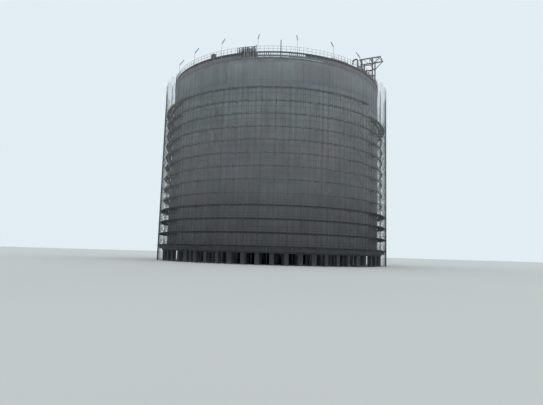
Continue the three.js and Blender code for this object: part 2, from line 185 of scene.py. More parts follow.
POST_ANGLE = 2
POST_TUBE = 0.024
RAIL_TUBE = 0.0195
OUTER_RAIL = 22.17
OUTER_RISES = (0.5, 1.0)
INNER_RAIL = 21.25
INNER_RISES = (0.55, 1.1)
KICK_PLATE = 0.12

# Lights. A section is width, depth and the cut of its corners
LIGHTS = 20
FIRST_LIGHT = 9
CONDUIT_RADIUS = BAND_OUTER + 0.0256
CONDUIT_HEIGHT = 37.08
CONDUIT_TUBE = 0.02
POLE_FOOT = 36.45
POLE_STEP = 1.2
POLE_TOP = 39.45
POLE_LOWER_TUBE = 0.032
POLE_TUBE = 0.024
CLAMP_RISES = (0.12, 0.42)
CLAMP_HALF = 0.07
FITTING_LENGTH = 1.55
FITTING_TILT = 57
FITTING_BODY = (0.13, 0.15, 0.04)
FITTING_COLLAR = (0.15, 0.17, 0.045)
LENS_SIZE = (0.03, 0.11, 0.012)

# Gantry. A section is height, width, flange and web
GANTRY_ANGLE = 65
GANTRY_WIDTH = 2.48
INNER_LEG = 19.65
OUTER_LEG = 21.9
GANTRY_TOP = 42.15
GANTRY_REACH = 23.6
GANTRY_BACK = 19.2
GANTRY_BEAM = 0.22
GANTRY_TIES = (38.2, 39.4, 40.6)
KNEE_DROP = 1.35
GANTRY_COLUMN = (0.22, 0.2, 0.014, 0.01)
GANTRY_TIE = (0.13, 0.1, 0.01, 0.008)
GANTRY_KNEE = (0.12, 0.1, 0.01, 0.008)
GANTRY_RUNWAY = (GANTRY_BEAM, 0.2, 0.016, 0.01)
CROSS_BEAM = (GANTRY_BEAM * 0.8, 0.14, 0.012, 0.01)
BOLT_PLACE = 0.09
PLAN_BRACES = 6
PLINTH_WIDTH = 0.6
PLINTH_BOTTOM = 36.3
PLINTH_TOP = 36.9

# Davit and small walkway pieces
DAVIT_ANGLE = 45.2
DAVIT_RADIUS = 21.7
DAVIT_STRAIGHT = 2.75
DAVIT_TOP = 3.45
DAVIT_REACH = 1.1
DAVIT_DROP = 0.35
DAVIT_BAR = 0.15
DAVIT_SLEEVE = 0.17
GUARD_FROM = -19
GUARD_TO = -10
GUARD_POSTS = 10
GUARD_RADIUS = 21.96
GUARD_TOP = 38.3
GATE_BOARDS = (-16.2, -9.4)
GATE_BOARD_ANGLE = 0.36
# Ranges of bottoms and tops, the distance out from the band, and the range of tints
GATE_BOARD_KINDS = (
    ((36.2, 36.4), (37.7, 38.5), 0.06, (0.0, 0.15)),
    ((35.7, 35.9), (36.9, 37.15), 0.03, (0.45, 0.8)),
)
FOOT_GUARD = (44.5, 79.5)
# The angle that a stretch ends at, and the range of its boards' tops
FOOT_GUARD_TOPS = ((49.5, 37.85, 38.3), (57, 37.45, 37.95), (80, 37.35, 37.95))
GUARD_BOARD_ANGLE = 0.6
GUARD_BOARD_WIDTHS = (0.13, 0.22)
TALL_BOARD_EVERY = 5
TALL_BOARD_MORE = 0.6
CABINET_ANGLE = -33
CABINET_RADIUS = 21.65
CABINET_TOP = 38.15
CABINET_SIZE = (0.46, 0.86)
CABINET_ROOF = (0.5, 0.9)
MAST_ANGLE = 1.5
MAST_RADIUS = 21.7
MAST_TOP = 39.55
MAST_HEAD = 0.25

UP = np.array([0.0, 0.0, 1.0])
ACROSS = np.array([1.0, 0.0, 0.0])


# Places round the axis

def spot(radius, angle, height):
    turn = radians(angle)
    return np.array([radius * sin(turn), -radius * cos(turn), height])


def outward(angle):
    return spot(1.0, angle, 0.0)


def along(angle):
    turn = radians(angle)
    return np.array([cos(turn), sin(turn), 0.0])


def unit(vector):
    return vector / np.linalg.norm(vector)


def deck_top(lift):
    return FIRST_DECK + lift * LIFT


def between(start, end, steps):
    """Numbers in even steps from start to end, both included."""
    return [start + (end - start) * i / steps for i in range(steps + 1)]


def upright_outline(section, angle):
    """The places at an angle of a section of (radius, height), in the turn that loft() takes."""
    return np.array([spot(radius, angle, height) for radius, height in section][::-1])


class Shape:
    """Closed solids gathered into one mesh. Each solid has a tint from 0 to 1 for its material."""

    def __init__(self):
        self.points = []
        self.faces = []
        self.tints = []
        self.count = 0

    def add(self, points, faces, tint=0.5):
        base = self.count
        self.points.append(np.asarray(points, float))
        self.faces.extend(tuple(base + i for i in face) for face in faces)
        self.tints.extend([tint] * len(faces))
        self.count += len(points)

    def loft(self, rings, tint=0.5, closed=False):
        """Rings of points that turn right-handed round the way from each ring to the next."""
        size = len(rings[0])
        count = len(rings)
        faces = []
        for ring in range(count if closed else count - 1):
            here = ring * size
            there = ((ring + 1) % count) * size
            for i in range(size):
                j = (i + 1) % size
                faces.append((here + i, here + j, there + j, there + i))
        if not closed:
            faces.append(tuple(reversed(range(size))))
            faces.append(tuple(range((count - 1) * size, count * size)))
        self.add(np.concatenate(rings), faces, tint)

    def extrude(self, start, end, outline, side, tint=0.5, end_scale=1.0):
        """A straight bar whose outline is given along side and along (way ahead x side)."""
        ahead = unit(end - start)
        side = unit(side - ahead * side.dot(ahead))
        other = np.cross(ahead, side)
        section = np.array([s * side + o * other for s, o in outline])
        self.loft([start + section, end + section * end_scale], tint)

    def rod(self, start, end, radius, sides, tint=0.5, end_scale=1.0):
        side = ACROSS if abs(unit(end - start)[2]) > 0.9 else UP
        self.extrude(start, end, circle(radius, sides), side, tint, end_scale)

    def beam(self, start, end, width, depth, side, tint=0.5):
        """A rectangular bar: width is along side."""
        self.extrude(start, end, rectangle(width, depth), side, tint)

    def pole(self, radius, angle, bottom, top, thickness, sides, tint=0.5):
        """An upright rod."""
        self.rod(spot(radius, angle, bottom), spot(radius, angle, top), thickness, sides, tint)

    def post(self, radius, angle, bottom, top, depth, width, tint, facing=None):
        """An upright rectangular bar: depth is outward at its own angle, or at the one it faces."""
        side = outward(angle if facing is None else facing)
        self.beam(spot(radius, angle, bottom), spot(radius, angle, top), depth, width, side, tint)

    def ring(self, section, steps, tint=0.5):
        """section lists (radius, height) anticlockwise with the radius to the right."""
        angles = between(0, 360, steps)[:-1]
        self.loft([upright_outline(section, angle) for angle in angles], tint, closed=True)

    def arc(self, section, start, end, step, tint):
        angles = between(start, end, max(1, round((end - start) / step)))
        self.loft([upright_outline(section, angle) for angle in angles], tint)

    def lathe(self, profile, steps):
        """profile lists (radius, height) anticlockwise, and its first and last points are on the axis."""
        inner = profile[1:-1]
        points = [spot(0, 0, profile[0][1]), spot(0, 0, profile[-1][1])]
        for step in range(steps):
            points.extend(spot(radius, 360 * step / steps, height) for radius, height in inner)
        size = len(inner)
        faces = []
        for step in range(steps):
            here = 2 + step * size
            there = 2 + ((step + 1) % steps) * size
            faces.append((0, there, here))
            faces.append((1, here + size - 1, there + size - 1))
            for i in range(size - 1):
                faces.append((here + i, there + i, there + i + 1, here + i + 1))
        self.add(points, faces)


def circle(radius, sides):
    turns = [2 * pi * (i + 0.5) / sides for i in range(sides)]
    return [(radius * cos(turn), radius * sin(turn)) for turn in turns]


def rectangle(width, depth):
    w = width / 2
    d = depth / 2
    return [(-w, -d), (w, -d), (w, d), (-w, d)]


def chamfered(width, depth, cut):
    w = width / 2
    d = depth / 2
    return [
        (-w + cut, -d), (w - cut, -d), (w, -d + cut), (w, d - cut),
        (w - cut, d), (-w + cut, d), (-w, d - cut), (-w, -d + cut),
    ]


def i_section(height, width, flange, web):
    """height is along the side that extrude() is given."""
    h = height / 2
    w = width / 2
    f = h - flange
    t = web / 2
    return [
        (-h, -w), (-f, -w), (-f, -t), (f, -t), (f, -w), (h, -w),
        (h, w), (f, w), (f, t), (-f, t), (-f, w), (-h, w),
    ]


def band(inner, outer, bottom, top):
    return [(inner, bottom), (outer, bottom), (outer, top), (inner, top)]


def put(name, data):
    """Puts a mesh, a lamp or a camera into the scene."""
    made = bpy.data.objects.new(name, data)
    bpy.context.scene.collection.objects.link(made)
    return made


def piece(name, shape, material, slot, *replaced, smooth=50):
    """Makes the shape one piece of the tank, which stands for the CAD nodes that are named."""
    mesh = bpy.data.meshes.new(name)
    mesh.from_pydata((np.concatenate(shape.points) * SCALE).tolist(), [], shape.faces)
    tint = mesh.attributes.new("tint", "FLOAT", "FACE")
    tint.data.foreach_set("value", np.array(shape.tints, np.float32))
    mesh.polygons.foreach_set("use_smooth", [True] * len(mesh.polygons))
    mesh.set_sharp_from_angle(angle=radians(smooth))
    mesh.materials.append(material)
    made = put(name, mesh)
    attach(made, "root")
    if replaced:
        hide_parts(*replaced)


# Materials

class Look:
    """A material, and short calls that add its nodes. Its places are in metres of the real tank."""

    def __init__(self, name, roughness, metallic=0.0):
        self.material = bpy.data.materials.new(name)
        self.material.use_nodes = True
        self.nodes = self.material.node_tree.nodes
        self.links = self.material.node_tree.links
        self.shader = self.nodes["Principled BSDF"]
        self.shader.inputs["Metallic"].default_value = metallic
        self.shader.inputs["Roughness"].default_value = roughness
        here = self.node("TexCoord", {}).outputs["Object"]
        enlarge = {0: here, 1: (1 / SCALE, 1 / SCALE, 1 / SCALE)}
        self.place = self.node("VectorMath", enlarge, "MULTIPLY").outputs[0]
        attribute = self.node("Attribute", {})
        attribute.attribute_name = "tint"
        self.tint = attribute.outputs["Fac"]

    def give(self, socket, value):
        if isinstance(value, bpy.types.NodeSocket):
            self.links.new(value, socket)
        else:
            socket.default_value = (*value, 1.0) if socket.type == "RGBA" else value

    def node(self, kind, inputs, operation=None):
        """Adds a node whose inputs are given values or links."""
        node = self.nodes.new(f"ShaderNode{kind}")
        if operation:
            node.operation = operation
        for name, value in inputs.items():
            self.give(node.inputs[name], value)
        return node

    def calc(self, operation, first, second=0.0):
        return self.node("Math", {0: first, 1: second}, operation).outputs[0]

    def times(self, first, second):
        return self.calc("MULTIPLY", first, second)

    def turn(self, x, y):
        """The angle round the tank's axis, in radians."""
        return self.calc("ARCTAN2", x, self.times(y, -1.0))

    def parts(self, vector):
        return self.node("SeparateXYZ", {0: vector}).outputs

    def height(self):
        return self.parts(self.place)[2]

    def vector(self, x, y, z=0.0):
        return self.node("CombineXYZ", {0: x, 1: y, 2: z}).outputs[0]

    def noise(self, scale, detail, roughness=0.55, vector=None):
        inputs = {"Vector": vector or self.place, "Scale": scale, "Detail": detail, "Roughness": roughness}
        return self.node("TexNoise", inputs).outputs["Fac"]

    def cell(self, vector):
        """A random number for each unit cell of the vector."""
        corner = self.node("VectorMath", {0: vector}, "FLOOR").outputs[0]
        return self.node("TexWhiteNoise", {"Vector": corner}).outputs["Value"]

    def spread(self, value, low, high, to_low=0.0, to_high=1.0):
        inputs = {"Value": value, "From Min": low, "From Max": high, "To Min": to_low, "To Max": to_high}
        return self.node("MapRange", inputs).outputs["Result"]

    def swing(self, noise, low, high):
        """A noise's usual range, spread from low to high."""
        return self.spread(noise, 0.3, 0.7, low, high)

    def ramp(self, value, stops):
        """A colour that runs through stops of (value, colour)."""
        tone = stops[0][1]
        for (low, _), (high, colour) in zip(stops, stops[1:]):
            tone = self.mix(self.spread(value, low, high), tone, colour)
        return tone

    def mix(self, factor, first, second, mode="MIX"):
        node = self.node("Mix", {0: factor, 6: first, 7: second})
        node.data_type = "RGBA"
        node.blend_type = mode
        return node.outputs[2]

    def shade(self, colour, factor):
        """colour times a number or another colour."""
        return self.mix(1.0, colour, factor, "MULTIPLY")

    def mottle(self, colour, noise, low, high):
        """colour times a noise that swings from low to high."""
        return self.shade(colour, self.swing(noise, low, high))

    def colour(self, value):
        self.give(self.shader.inputs["Base Color"], value)

    def rough(self, value):
        self.give(self.shader.inputs["Roughness"], value)

    def bump(self, height, depth):
        """depth is in millimetres of the real tank."""
        node = self.node("Bump", {"Height": height, "Distance": depth / 1000 * SCALE})
        self.give(self.shader.inputs["Normal"], node.outputs[0])


def unrolled(look):
    """Distance round the wall, height, both in metres of the real tank."""
    x, y, z = look.parts(look.place)
    return look.times(look.turn(x, y), WALL_RADIUS), z


# The wall's tone at each height, with painted shade from the scaffold and the ground that darkens it
# towards the bottom
WALL_TONES_PAINTED_SHADE = (
    (3.0, (0.146, 0.148, 0.157)),
    (10.5, (0.163, 0.168, 0.180)),
    (14.3, (0.211, 0.218, 0.227)),
    (18.5, (0.233, 0.235, 0.249)),
    (23.3, (0.253, 0.264, 0.274)),
    (28.3, (0.300, 0.328, 0.334)),
    (32.0, (0.208, 0.223, 0.238)),
    (35.0, (0.234, 0.250, 0.256)),
)
COOL_HUE = (0.97, 1.0, 0.985)
WARM_HUE = (1.05, 0.985, 0.995)
SITE_DUST = (0.10, 0.092, 0.082)
SLAB_DUST = (0.42, 0.43, 0.43)
# Painted shade and light on the tubes: two heights, and the tubes' shade at each of them
LOW_TUBES_PAINTED_SHADE = (4.0, 13.0, 0.36, 1.0)
HIGH_TUBES_PAINTED_LIGHT = (30.0, 32.5, 1.0, 1.45)


def cast_wall_look():
    look = Look("cast_wall_concrete", roughness=0.88)
    distance, height = unrolled(look)
    flat = look.vector(distance, height)
    pour = (WALL_TOP - SLAB_TOP) / POURS
    panel_width = radians(PANEL_ANGLE) * WALL_RADIUS
    first = radians(FIRST_JOINT) * WALL_RADIUS
    across = look.calc("DIVIDE", look.calc("SUBTRACT", distance, first), panel_width)
    level = look.calc("DIVIDE", look.calc("SUBTRACT", height, SLAB_TOP), pour)
    panel = look.cell(look.vector(across, level))
    board = look.cell(look.vector(look.times(across, MARKS_PER_PANEL), level, 3.0))
    patch = look.noise(0.22, 5.0, 0.6, flat)
    grain = look.noise(5.0, 6.0, 0.65, flat)
    drawn_down = look.vector(look.times(distance, 1.5), look.times(height, 0.07))
    streak = look.noise(1.0, 4.0, vector=drawn_down)
    # Painted shade by height, darker towards the bottom
    tone = look.ramp(height, WALL_TONES_PAINTED_SHADE)
    tone = look.shade(tone, look.spread(panel, 0.0, 1.0, 0.92, 1.07))
    tone = look.shade(tone, look.spread(board, 0.0, 1.0, 0.975, 1.02))
    tone = look.mottle(tone, patch, 0.88, 1.10)
    tone = look.shade(tone, look.spread(streak, 0.42, 0.68, 1.04, 0.86))
    tone = look.mottle(tone, grain, 0.93, 1.06)
    hue = look.spread(look.noise(0.16, 3.0, 0.6, flat), 0.38, 0.62)
    look.colour(look.shade(tone, look.mix(hue, COOL_HUE, WARM_HUE)))
    look.rough(look.spread(grain, 0.2, 0.8, 0.82, 0.95))
    look.bump(look.calc("ADD", grain, look.times(board, 0.5)), 6.0)
    return look.material


def concrete_look(name, colour, dust=SITE_DUST, dust_height=0.0, soft=True):
    """Concrete with dust below a height. The dust thins out upward, or ends there if not soft."""
    look = Look(name, roughness=0.9)
    patch = look.noise(0.5, 5.0, 0.6)
    grain = look.noise(7.0, 5.0, 0.6)
    tone = look.mottle(colour, patch, 0.78, 1.15)
    tone = look.mottle(tone, grain, 0.9, 1.08)
    if dust_height and soft:
        height = look.calc("ADD", look.height(), look.swing(patch, -0.3, 0.3))
        tone = look.mix(look.spread(height, 0.0, dust_height, 0.8, 0.0), tone, dust)
    elif dust_height:
        share = look.spread(look.height(), dust_height, dust_height + 0.02, 1.0, 0.0)
        tone = look.mix(share, tone, dust)
    look.colour(tone)
    look.bump(grain, 5.0)
    return look.material


def tube_look():
    """Galvanised tube, darkened by painted shade in the low lifts and brightened by painted light above
    the top deck.
    """
    look = Look("galvanised_tube", metallic=0.35, roughness=0.6)
    spangle = look.noise(14.0, 3.0)
    stain = look.noise(1.3, 5.0, 0.65)
    tone = look.mix(look.tint, (0.12, 0.128, 0.134), (0.20, 0.21, 0.217))
    tone = look.mottle(tone, spangle, 0.8, 1.15)
    # Painted shade darkens the low lifts' tubes; painted light brightens those above the top deck
    tone = look.shade(tone, look.spread(look.height(), *LOW_TUBES_PAINTED_SHADE))
    tone = look.shade(tone, look.spread(look.height(), *HIGH_TUBES_PAINTED_LIGHT))
    look.colour(look.mix(look.spread(stain, 0.58, 0.72), tone, (0.075, 0.045, 0.03)))
    look.rough(look.swing(spangle, 0.45, 0.7))
    look.bump(spangle, 0.6)
    return look.material


def coupler_look():
    look = Look("forged_coupler", metallic=0.5, roughness=0.6)
    stain = look.noise(9.0, 4.0)
    rust = look.spread(stain, 0.4, 0.65)
    look.colour(look.mix(rust, (0.075, 0.072, 0.07), (0.085, 0.048, 0.03)))
    look.bump(stain, 1.0)
    return look.material


def board_look():
    """Boards with their grain round the tank. Low tints are near black, painted shade for boards seen from
    below; upper faces take site dust, which keeps that painted shade off the tops.
    """
    look = Look("weathered_boards", roughness=0.9)
    x, y, z = look.parts(look.place)
    squares = look.calc("ADD", look.times(x, x), look.times(y, y))
    reach = look.calc("SQRT", squares)
    lengthwise = look.vector(look.times(look.turn(x, y), 20.0), look.times(reach, 30.0), z)
    grain = look.noise(1.5, 6.0, 0.7, lengthwise)
    stain = look.noise(1.1, 4.0)
    # Low tints run to near black: painted shade for boards seen from below
    tone = look.mix(look.tint, (0.024, 0.025, 0.025), (0.40, 0.385, 0.37))
    tone = look.mottle(tone, grain, 0.7, 1.2)
    tone = look.shade(tone, look.spread(stain, 0.35, 0.65, 0.85, 1.2))
    # Upper faces take the dust colour, so the painted shade stays on undersides and sides
    upward = look.parts(look.node("TexCoord", {}).outputs["Normal"])[2]
    dust = look.shade((0.20, 0.195, 0.185), look.spread(stain, 0.35, 0.65, 0.75, 1.2))
    look.colour(look.mix(look.spread(upward, 0.5, 0.9, 0.0, 0.75), tone, dust))
    look.bump(grain, 2.0)
    return look.material


def paint_look(name, colour, worn, roughness=0.55, shades=()):
    """Paint with a second colour where the solid's tint is high, and rust in patches.

    shades lists two heights and the paint's shade at each of them.
    """
    look = Look(name, metallic=0.15, roughness=roughness)
    patch = look.noise(2.2, 5.0, 0.65)
    fine = look.noise(25.0, 3.0)
    tone = look.mottle(look.mix(look.tint, colour, worn), patch, 0.8, 1.2)
    if shades:
        tone = look.shade(tone, look.spread(look.height(), *shades))
    look.colour(look.mix(look.spread(patch, 0.66, 0.74), tone, (0.12, 0.055, 0.03)))
    look.rough(look.swing(fine, roughness - 0.1, roughness + 0.15))
    look.bump(fine, 0.8)
    return look.material


def lens_look():
    look = Look("lamp_lens", roughness=0.25)
    dust = look.noise(12.0, 3.0)
    look.colour(look.mix(look.spread(dust, 0.35, 0.7), (0.50, 0.53, 0.54), (0.36, 0.36, 0.34)))
    look.rough(look.swing(dust, 0.15, 0.45))
    return look.material


WALL_CONCRETE = cast_wall_look()
SLAB_CONCRETE = concrete_look(
    "slab_cast_concrete", (0.051, 0.055, 0.060), SLAB_DUST, SLAB_TOP - SLAB_DEPTH, soft=False)
PIER_CONCRETE = concrete_look("pier_cast_concrete", (0.056, 0.059, 0.063), dust_height=0.5)
# Paler concrete for the inner rings' piers: painted light against the shade under the slab
SECOND_PIER_PAINTED_LIGHT_CONCRETE = concrete_look("second_pier_painted_light_concrete", (0.33, 0.35, 0.37))
INNER_PIER_PAINTED_LIGHT_CONCRETE = concrete_look("inner_pier_painted_light_concrete", (0.46, 0.48, 0.50))
BEAM_CONCRETE = concrete_look("ring_beam_concrete", (0.229, 0.232, 0.245))
DOME_CONCRETE = concrete_look("dome_floated_concrete", (0.36, 0.37, 0.37))
MORTAR = concrete_look("tie_hole_mortar", (0.12, 0.125, 0.13))
TUBES = tube_look()
COUPLERS = coupler_look()
BOARDS = board_look()
WALKWAY_PAINT = paint_look("walkway_paint", (0.118, 0.119, 0.125), (0.148, 0.138, 0.144))
BAND_PAINT = paint_look(
    "band_paint", (0.118, 0.119, 0.125), (0.158, 0.138, 0.142), shades=(36.55, 36.85, 1.35, 0.55))
RAIL_PAINT = paint_look("rail_paint", (0.19, 0.20, 0.21), (0.15, 0.075, 0.055))
POLE_PAINT = paint_look("pole_paint", (0.22, 0.235, 0.25), (0.28, 0.29, 0.30))
PRIMER = paint_look("red_primer", (0.205, 0.195, 0.190), (0.20, 0.145, 0.13), roughness=0.7)
# A paler copy of the red primer: painted light on the runway beams, seen from below in shade
RUNWAY_PAINTED_LIGHT_PRIMER = paint_look("runway_painted_light_primer", (0.42, 0.425, 0.43), (0.34, 0.30, 0.29), roughness=0.7)
LENS = lens_look()


# Slab and columns

def make_slab():
    shape = Shape()
    bottom = SLAB_TOP - SLAB_DEPTH
    edge = SLAB_RADIUS - CHAMFER
    shape.lathe([
        (0, bottom), (edge, bottom), (SLAB_RADIUS, bottom + CHAMFER), (SLAB_RADIUS, SLAB_TOP - CHAMFER),
        (edge, SLAB_TOP), (0, SLAB_TOP),
    ], steps=240)
    piece("raised_slab", shape, SLAB_CONCRETE, "slab_concrete", "base_slab", smooth=30)


def make_pier_ring(number, radius, count, width, first):
    shape = Shape()
    cap_top = SLAB_TOP - SLAB_DEPTH - GAP
    cap_bottom = cap_top - CAP_DEPTH
    half = CAP_WIDTH / 2
    inner = radius - half
    outer = radius + half
    shape.ring([
        (inner + CHAMFER, cap_bottom), (outer - CHAMFER, cap_bottom), (outer, cap_bottom + CHAMFER),
        (outer, cap_top), (inner, cap_top), (inner, cap_bottom + CHAMFER),
    ], steps=180)
    outline = chamfered(width, width, CHAMFER)
    for i in range(count):
        angle = first + 360 * i / count
        top = spot(radius, angle, cap_bottom + 0.01)
        shape.extrude(spot(radius, angle, 0), top, outline, outward(angle))
    node = f"pier_ring_{number:02d}"
    nodes = [f"{node}_{side}" for side in SIDES] if number == 1 else [node]
    # The inner rings take paler concrete, painted light in the shade under the slab
    concrete = (PIER_CONCRETE, SECOND_PIER_PAINTED_LIGHT_CONCRETE)[number - 1] if number < 3 else INNER_PIER_PAINTED_LIGHT_CONCRETE
    piece(f"concrete_piers_{number:02d}", shape, concrete, "slab_concrete", *nodes, smooth=30)


# Wall in panels, with the joints of its pours

def pour_heights():
    return between(SLAB_TOP + GAP, WALL_TOP, POURS)


def wall_section(heights, depths):
    """An upright section of the wall, whose outer face is set back by depths, pour by pour."""
    inner = WALL_RADIUS - WALL_DEPTH
    floor = WALL_RADIUS - JOINT_DEPTH
    section = [(inner, heights[0])]
    for pour, depth in enumerate(depths):
        bottom, top = heights[pour:pour + 2]
        radius = WALL_RADIUS - depth
        low = bottom + JOINT_HALF if pour else bottom
        last = pour == POURS - 1
        high = top if last else top - JOINT_HALF
        section += [(radius, low), (radius, (bottom + top) / 2), (radius, high)]
        if not last:
            section += [(floor, top - LEVEL_FLOOR), (floor, top + LEVEL_FLOOR)]
    return [*section, (inner, heights[-1])]


def make_wall_segment(number, dice):
    start = FIRST_JOINT + (number - 1) * 360 / WALL_SEGMENTS
    panels = round(360 / WALL_SEGMENTS / PANEL_ANGLE)
    groove = degrees(JOINT_HALF / WALL_RADIUS)
    floor = degrees(UPRIGHT_FLOOR / WALL_RADIUS)
    trim = degrees(GAP / 2 / WALL_RADIUS)
    heights = pour_heights()
    sunk = wall_section(heights, [JOINT_DEPTH] * POURS)
    rings = []
    for panel in range(panels):
        face = wall_section(heights, [dice.uniform(0, POUR_UNEVENNESS) for _ in range(POURS)])
        left = start + panel * PANEL_ANGLE
        right = left + PANEL_ANGLE
        rings.append(upright_outline(sunk, left + (floor if panel else trim)))
        for angle in between(left + groove, right - groove, round(PANEL_ANGLE)):
            rings.append(upright_outline(face, angle))
        rings.append(upright_outline(sunk, right - (floor if panel < panels - 1 else trim)))
    shape = Shape()
    shape.loft(rings)
    node = f"wall_segment_{number:02d}"
    piece(f"cast_wall_{number:02d}", shape, WALL_CONCRETE, "wall_concrete", node, smooth=25)


def make_tie_plugs():
    shape = Shape()
    heights = pour_heights()
    inner = WALL_RADIUS - TIE_PLUG_DEPTH
    outer = WALL_RADIUS + TIE_PLUG_PROUD
    for panel in range(round(360 / PANEL_ANGLE)):
        for column in range(TIE_COLUMNS):
            angle = FIRST_JOINT + PANEL_ANGLE * (panel + (column + 0.5) / TIE_COLUMNS)
            for bottom, top in zip(heights, heights[1:]):
                for row in range(TIE_ROWS):
                    height = bottom + (top - bottom) * (row + 0.5) / TIE_ROWS
                    start = spot(inner, angle, height)
                    shape.rod(start, spot(outer, angle, height), TIE_RADIUS, 7, end_scale=0.85)
    piece("wall_tie_plugs", shape, MORTAR, "wall_concrete")


def cap_height(radius, rim):
    """Height at a radius of a cap that rises from the ring beam's top at its rim to the dome's top."""
    rise = DOME_TOP - RING_TOP
    sphere = (rim ** 2 + rise ** 2) / (2 * rise)
    return DOME_TOP - sphere + sqrt(sphere ** 2 - radius ** 2)


def make_ring_beam():
    shape = Shape()
    foot = WALL_TOP + GAP
    inner = RING_INNER - RING_SEAT
    edge = WALL_RADIUS - CHAMFER
    shape.ring([
        (inner, foot), (WALL_RADIUS, foot), (WALL_RADIUS, RING_TOP - CHAMFER),
        (edge, RING_TOP), (RING_INNER, RING_TOP),
    ], steps=240)
    piece("cast_ring_beam", shape, BEAM_CONCRETE, "roof_concrete", "ring_beam", smooth=30)


def make_dome():
    taper = RING_SEAT / (RING_TOP - WALL_TOP)
    top_rim = RING_INNER - DOME_GAP
    low_rim = top_rim - taper * DOME_DEPTH
    profile = []
    for radius in between(0, low_rim, DOME_RINGS):
        profile.append((radius, cap_height(radius, low_rim) - DOME_DEPTH))
    radii = between(0, top_rim, DOME_RINGS)
    for joint in DOME_JOINTS:
        radii.extend((joint - JOINT_HALF, joint, joint + JOINT_HALF))
    for radius in sorted(radii, reverse=True):
        sunk = JOINT_DEPTH if radius in DOME_JOINTS else 0.0
        profile.append((radius, cap_height(radius, top_rim) - sunk))
    shape = Shape()
    shape.lathe(profile, steps=240)
    plinth = chamfered(PLINTH_WIDTH, PLINTH_WIDTH, CHAMFER)
    for offset in (-GANTRY_WIDTH / 2, GANTRY_WIDTH / 2):
        low = gantry_spot(INNER_LEG, offset, PLINTH_BOTTOM)
        high = gantry_spot(INNER_LEG, offset, PLINTH_TOP)
        shape.extrude(low, high, plinth, outward(GANTRY_ANGLE))
    segments = [f"dome_segment_{number:02d}" for number in range(1, DOME_SEGMENTS + 1)]
    piece("concrete_dome", shape, DOME_CONCRETE, "roof_concrete", *segments, smooth=20)


# Scaffold

def make_standards(name, nodes, radius, foot, per_bay, dice):
    shape = Shape()
    bottom = foot + JACK_HEIGHT
    for i in range(BAYS * per_bay):
        angle = BAY_ANGLE / per_bay * i
        top = STANDARD_TOP - dice.choice(STANDARD_CUTS)
        lean = dice.uniform(-STANDARD_LEAN, STANDARD_LEAN)
        sleeves = [bottom + TUBE_LENGTH * k + dice.uniform(-0.2, 0.2) for k in range(1, SLEEVES + 1)]
        tint = dice.random()
        shape.rod(spot(radius, angle, bottom), spot(radius, angle + lean, top), TUBE, 8, tint)
        for sleeve in sleeves:
            place = angle + lean * (sleeve - bottom) / (top - bottom)
            low, high = sleeve - SLEEVE_HALF, sleeve + SLEEVE_HALF
            shape.pole(radius, place, low, high, TUBE * 1.3, 8, tint * 0.5)
        shape.pole(radius, angle, foot + 0.01, bottom + 0.01, TUBE * 0.75, 6, 0.2)
        plate = foot + 0.004
        shape.post(radius, angle, plate, plate + PLATE_DEPTH, PLATE_WIDTH, PLATE_WIDTH, 0.2)
    piece(name, shape, TUBES, "scaffold_tube", *nodes)


def rail(shape, radius, bay, height, tint):
    """One tube along a bay, laid from standard to standard and a little past both."""
    start = spot(radius, BAY_ANGLE * bay, height)
    end = spot(radius, BAY_ANGLE * (bay + 1), height)
    over = unit(end - start) * RAIL_OVERLAP
    shape.rod(start - over, end + over, TUBE, TUBE_SIDES, tint)


def lowered(bay):
    return LOWERED[0] < (BAY_ANGLE * (bay + 0.5)) % 360 < LOWERED[1]


def board_plan(lift, bay):
    """Rows of boards between the standards, rows beside the wall, and the range of their tints."""
    low = lift <= LAST_DARK_LIFT
    highest = lift == (LIFTS - 1 if lowered(bay) else LIFTS)
    middle = (BAY_ANGLE * (bay + 0.5) + 180) % 360 - 180
    narrow = NARROW[0] < middle < NARROW[1] and not low and not highest
    in_front = abs(middle) < FRONT_ANGLE
    rows = 1 if narrow else FULL_ROWS if highest or low and not in_front else PALE_ROWS
    # Low lifts take the near-black tints of painted shade
    tints = LOW_TINTS_PAINTED_SHADE if low else TOP_TINTS if highest else PALE_TINTS
    return rows, 0 if in_front or narrow else WALL_ROWS, tints


